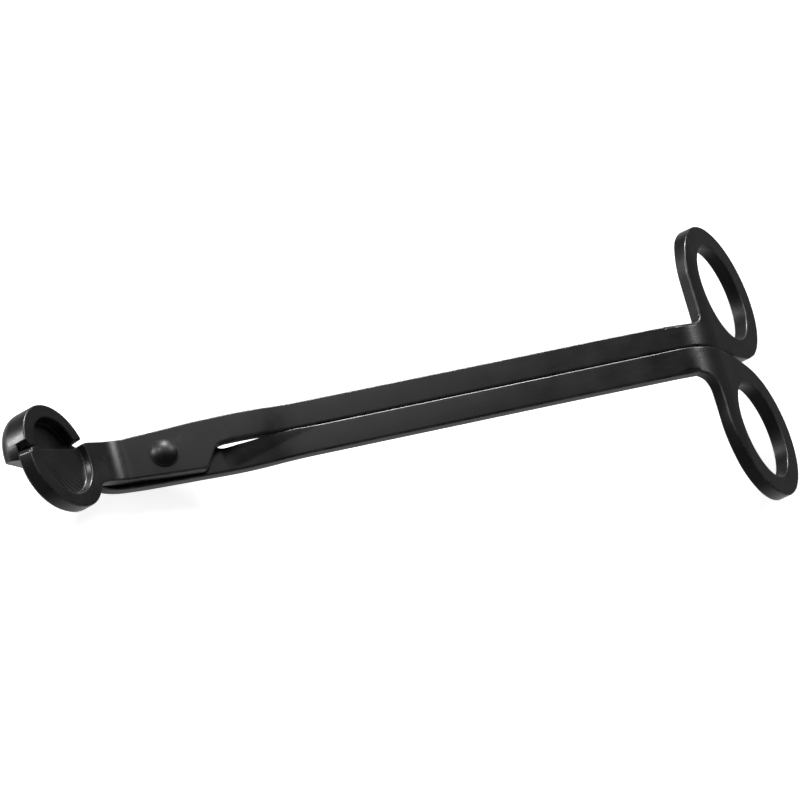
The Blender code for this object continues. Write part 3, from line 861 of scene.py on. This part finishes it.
def coated_steel(name, dark, light, rough_low, rough_high, grain=1.0, rings=0.0):
    """Fine black coating: cloudy tone, brushed grain, edges rubbed a little lighter."""
    material = bpy.data.materials.new(name)
    material.use_nodes = True
    tree = material.node_tree
    nodes, links = tree.nodes, tree.links
    shader = nodes["Principled BSDF"]
    shader.inputs["Metallic"].default_value = 0.0
    shader.inputs["IOR"].default_value = 1.5
    vector = nodes.new("ShaderNodeTexCoord").outputs["Object"]
    mottle = noise(tree, vector, 160.0, 4.0)
    fine = noise(tree, vector, 2600.0, 3.0)
    brushed = noise(tree, stretched(tree, vector, (300.0, 4200.0, 300.0)), 1.0, 3.0)
    worn_spots = noise(tree, vector, 900.0, 3.0, 0.6)

    worn = math_node(tree, "MULTIPLY", point_mark(tree, "edge_mark"), worn_spots)
    tone = math_node(tree, "MULTIPLY_ADD", worn, 0.9, mottle)
    tint = nodes.new("ShaderNodeValToRGB")
    for element, (place, value) in zip(tint.color_ramp.elements, ((0.3, dark), (0.7, light))):
        element.position = place
        element.color = (value, value, value, 1.0)
    rubbed = tint.color_ramp.elements.new(1.0)
    rubbed.color = (6.0 * light, 6.0 * light, 6.0 * light, 1.0)
    links.new(tone, tint.inputs["Fac"])
    links.new(tint.outputs["Color"], shader.inputs["Base Color"])

    gloss = nodes.new("ShaderNodeMapRange")
    gloss.inputs["From Min"].default_value = 0.35
    gloss.inputs["From Max"].default_value = 0.65
    gloss.inputs["To Min"].default_value = rough_low
    gloss.inputs["To Max"].default_value = rough_high
    cloudy = math_node(tree, "MULTIPLY", mottle, 0.65)
    links.new(math_node(tree, "MULTIPLY_ADD", brushed, 0.35, cloudy), gloss.inputs["Value"])
    links.new(gloss.outputs["Result"], shader.inputs["Roughness"])

    relief = math_node(tree, "MULTIPLY_ADD", brushed, 0.6, fine)
    if rings > 0.0:
        relief = math_node(tree, "MULTIPLY_ADD", grinding_rings(tree, vector), rings, relief)
    bump = nodes.new("ShaderNodeBump")
    bump.inputs["Strength"].default_value = 0.2 * grain
    bump.inputs["Distance"].default_value = 0.00004
    links.new(relief, bump.inputs["Height"])
    links.new(bump.outputs["Normal"], shader.inputs["Normal"])
    return material


# Pieces -----------------------------------------------------------------------

lever_front = front_lever()
lever_back = back_lever()
pin = rivet()
finishes = (
    (lever_front, "front", "Front_Lever", "front_lever_coating",
     coated_steel("Front lever coating", 0.004, 0.008, 0.26, 0.36, 1.0, 9.0)),
    (lever_back, "back", "Back_Lever", "back_lever_coating",
     coated_steel("Back lever coating", 0.004, 0.008, 0.26, 0.36)),
    (pin, "front", "Pivot_Rivet", "rivet_coating",
     coated_steel("Rivet coating", 0.003, 0.006, 0.42, 0.48, 0.5)),
)
for piece, body, node, slot_name, material in finishes:
    piece.data.materials.append(material)
    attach(piece, body)
    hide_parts(node)


# Stage, light and camera -------------------------------------------------------

def floor():
    mesh = bpy.data.meshes.new("Stage_Floor")
    half = 3.0
    level = -0.0002
    corners = [
        (-half, -half, level),
        (half, -half, level),
        (half, half, level),
        (-half, half, level),
    ]
    mesh.from_pydata(corners, [], [(0, 1, 2, 3)])
    plane = bpy.data.objects.new("Stage_Floor", mesh)
    bpy.context.collection.objects.link(plane)
    plane.visible_glossy = False
    plane.visible_shadow = False
    material = bpy.data.materials.new("Pale floor")
    material.use_nodes = True
    shader = material.node_tree.nodes["Principled BSDF"]
    shader.inputs["Base Color"].default_value = (0.8, 0.8, 0.8, 1.0)
    shader.inputs["Roughness"].default_value = 0.9
    shader.inputs["Specular IOR Level"].default_value = 0.0
    shader.inputs["Emission Color"].default_value = (1.0, 1.0, 1.0, 1.0)
    shader.inputs["Emission Strength"].default_value = 0.85
    mesh.materials.append(material)


def softbox(name, direction, distance, width, height, radiance, centre=(0.0, 0.0, 0.0)):
    """Area light of a given radiance, looking at the tool from a direction."""
    data = bpy.data.lights.new(name, "AREA")
    data.shape = "RECTANGLE"
    data.size = width
    data.size_y = height
    data.energy = radiance * math.pi * width * height
    lamp = bpy.data.objects.new(name, data)
    toward = Vector(direction).normalized()
    lamp.location = Vector(centre) + toward * distance
    lamp.rotation_mode = "QUATERNION"
    lamp.rotation_quaternion = (-toward).to_track_quat("-Z", "Y")
    bpy.context.collection.objects.link(lamp)


# Brightness of the surroundings, from straight below (0) to straight above (1)
SKY = (
    (0.0, 0.65), (0.12, 0.5), (0.27, 0.1), (0.36, 0.08),
    (0.44, 0.17), (0.5, 0.12), (0.7, 0.06), (1.0, 0.06),
)


def studio_world():
    """Soft surroundings: pale from below, dim at the horizon and above."""
    world = bpy.data.worlds.new("Studio")
    world.use_nodes = True
    nodes, links = world.node_tree.nodes, world.node_tree.links
    coords = nodes.new("ShaderNodeTexCoord")
    split = nodes.new("ShaderNodeSeparateXYZ")
    links.new(coords.outputs["Generated"], split.inputs["Vector"])
    height = nodes.new("ShaderNodeMapRange")
    height.inputs["From Min"].default_value = -1.0
    links.new(split.outputs["Z"], height.inputs["Value"])
    ramp_node = nodes.new("ShaderNodeValToRGB")
    elements = ramp_node.color_ramp.elements
    while len(elements) < len(SKY):
        elements.new(0.5)
    for element, (place, value) in zip(elements, SKY):
        element.position = place
        element.color = (value, value, value, 1.0)
    links.new(height.outputs["Result"], ramp_node.inputs["Fac"])
    links.new(ramp_node.outputs["Color"], nodes["Background"].inputs["Color"])
    bpy.context.scene.world = world


floor()
studio_world()
# Direction, then distance, width and height in metres, then radiance
softbox("Overhead softbox", (0.03, 0.42, 0.91), 0.28, 0.1, 0.18, 1.05, (-0.028, 0.0, 0.0))
softbox("Right softbox", (0.62, 0.54, 0.57), 1.2, 0.3, 0.4, 15.0)
softbox("Left softbox", (-0.54, 0.6, 0.59), 1.2, 0.24, 0.24, 25.0)
softbox("Back left strip", (-0.78, 0.57, 0.05), 1.2, 0.3, 0.24, 28.0)
softbox("Back softbox", (0.13, 0.9, 0.3), 1.2, 0.24, 0.24, 95.0)


def tool_spot(u, v, w):
    return ORIGIN + AXIS_U * u + AXIS_V * v + AXIS_W * w


CAMERA_AT = tool_spot(-0.32234, -0.78220, 1.91621)
CAMERA_AIM = tool_spot(0.05253, 0.00232, 0.00039)
CAMERA_ROLL = math.radians(28.856)
CAMERA_LENS = 445.2

camera_data = bpy.data.cameras.new("Camera")
camera_data.lens = CAMERA_LENS
camera_data.sensor_width = 36.0
camera_data.clip_start = 0.1
camera_data.clip_end = 20.0
camera = bpy.data.objects.new("Camera", camera_data)
bpy.context.collection.objects.link(camera)
camera.location = CAMERA_AT
level_view = (CAMERA_AIM - CAMERA_AT).to_track_quat("-Z", "Y").to_matrix().to_4x4()
camera.rotation_mode = "QUATERNION"
camera.rotation_quaternion = (level_view @ Matrix.Rotation(CAMERA_ROLL, 4, "Z")).to_quaternion()
bpy.context.scene.camera = camera
bpy.context.scene.view_settings.view_transform = "Standard"
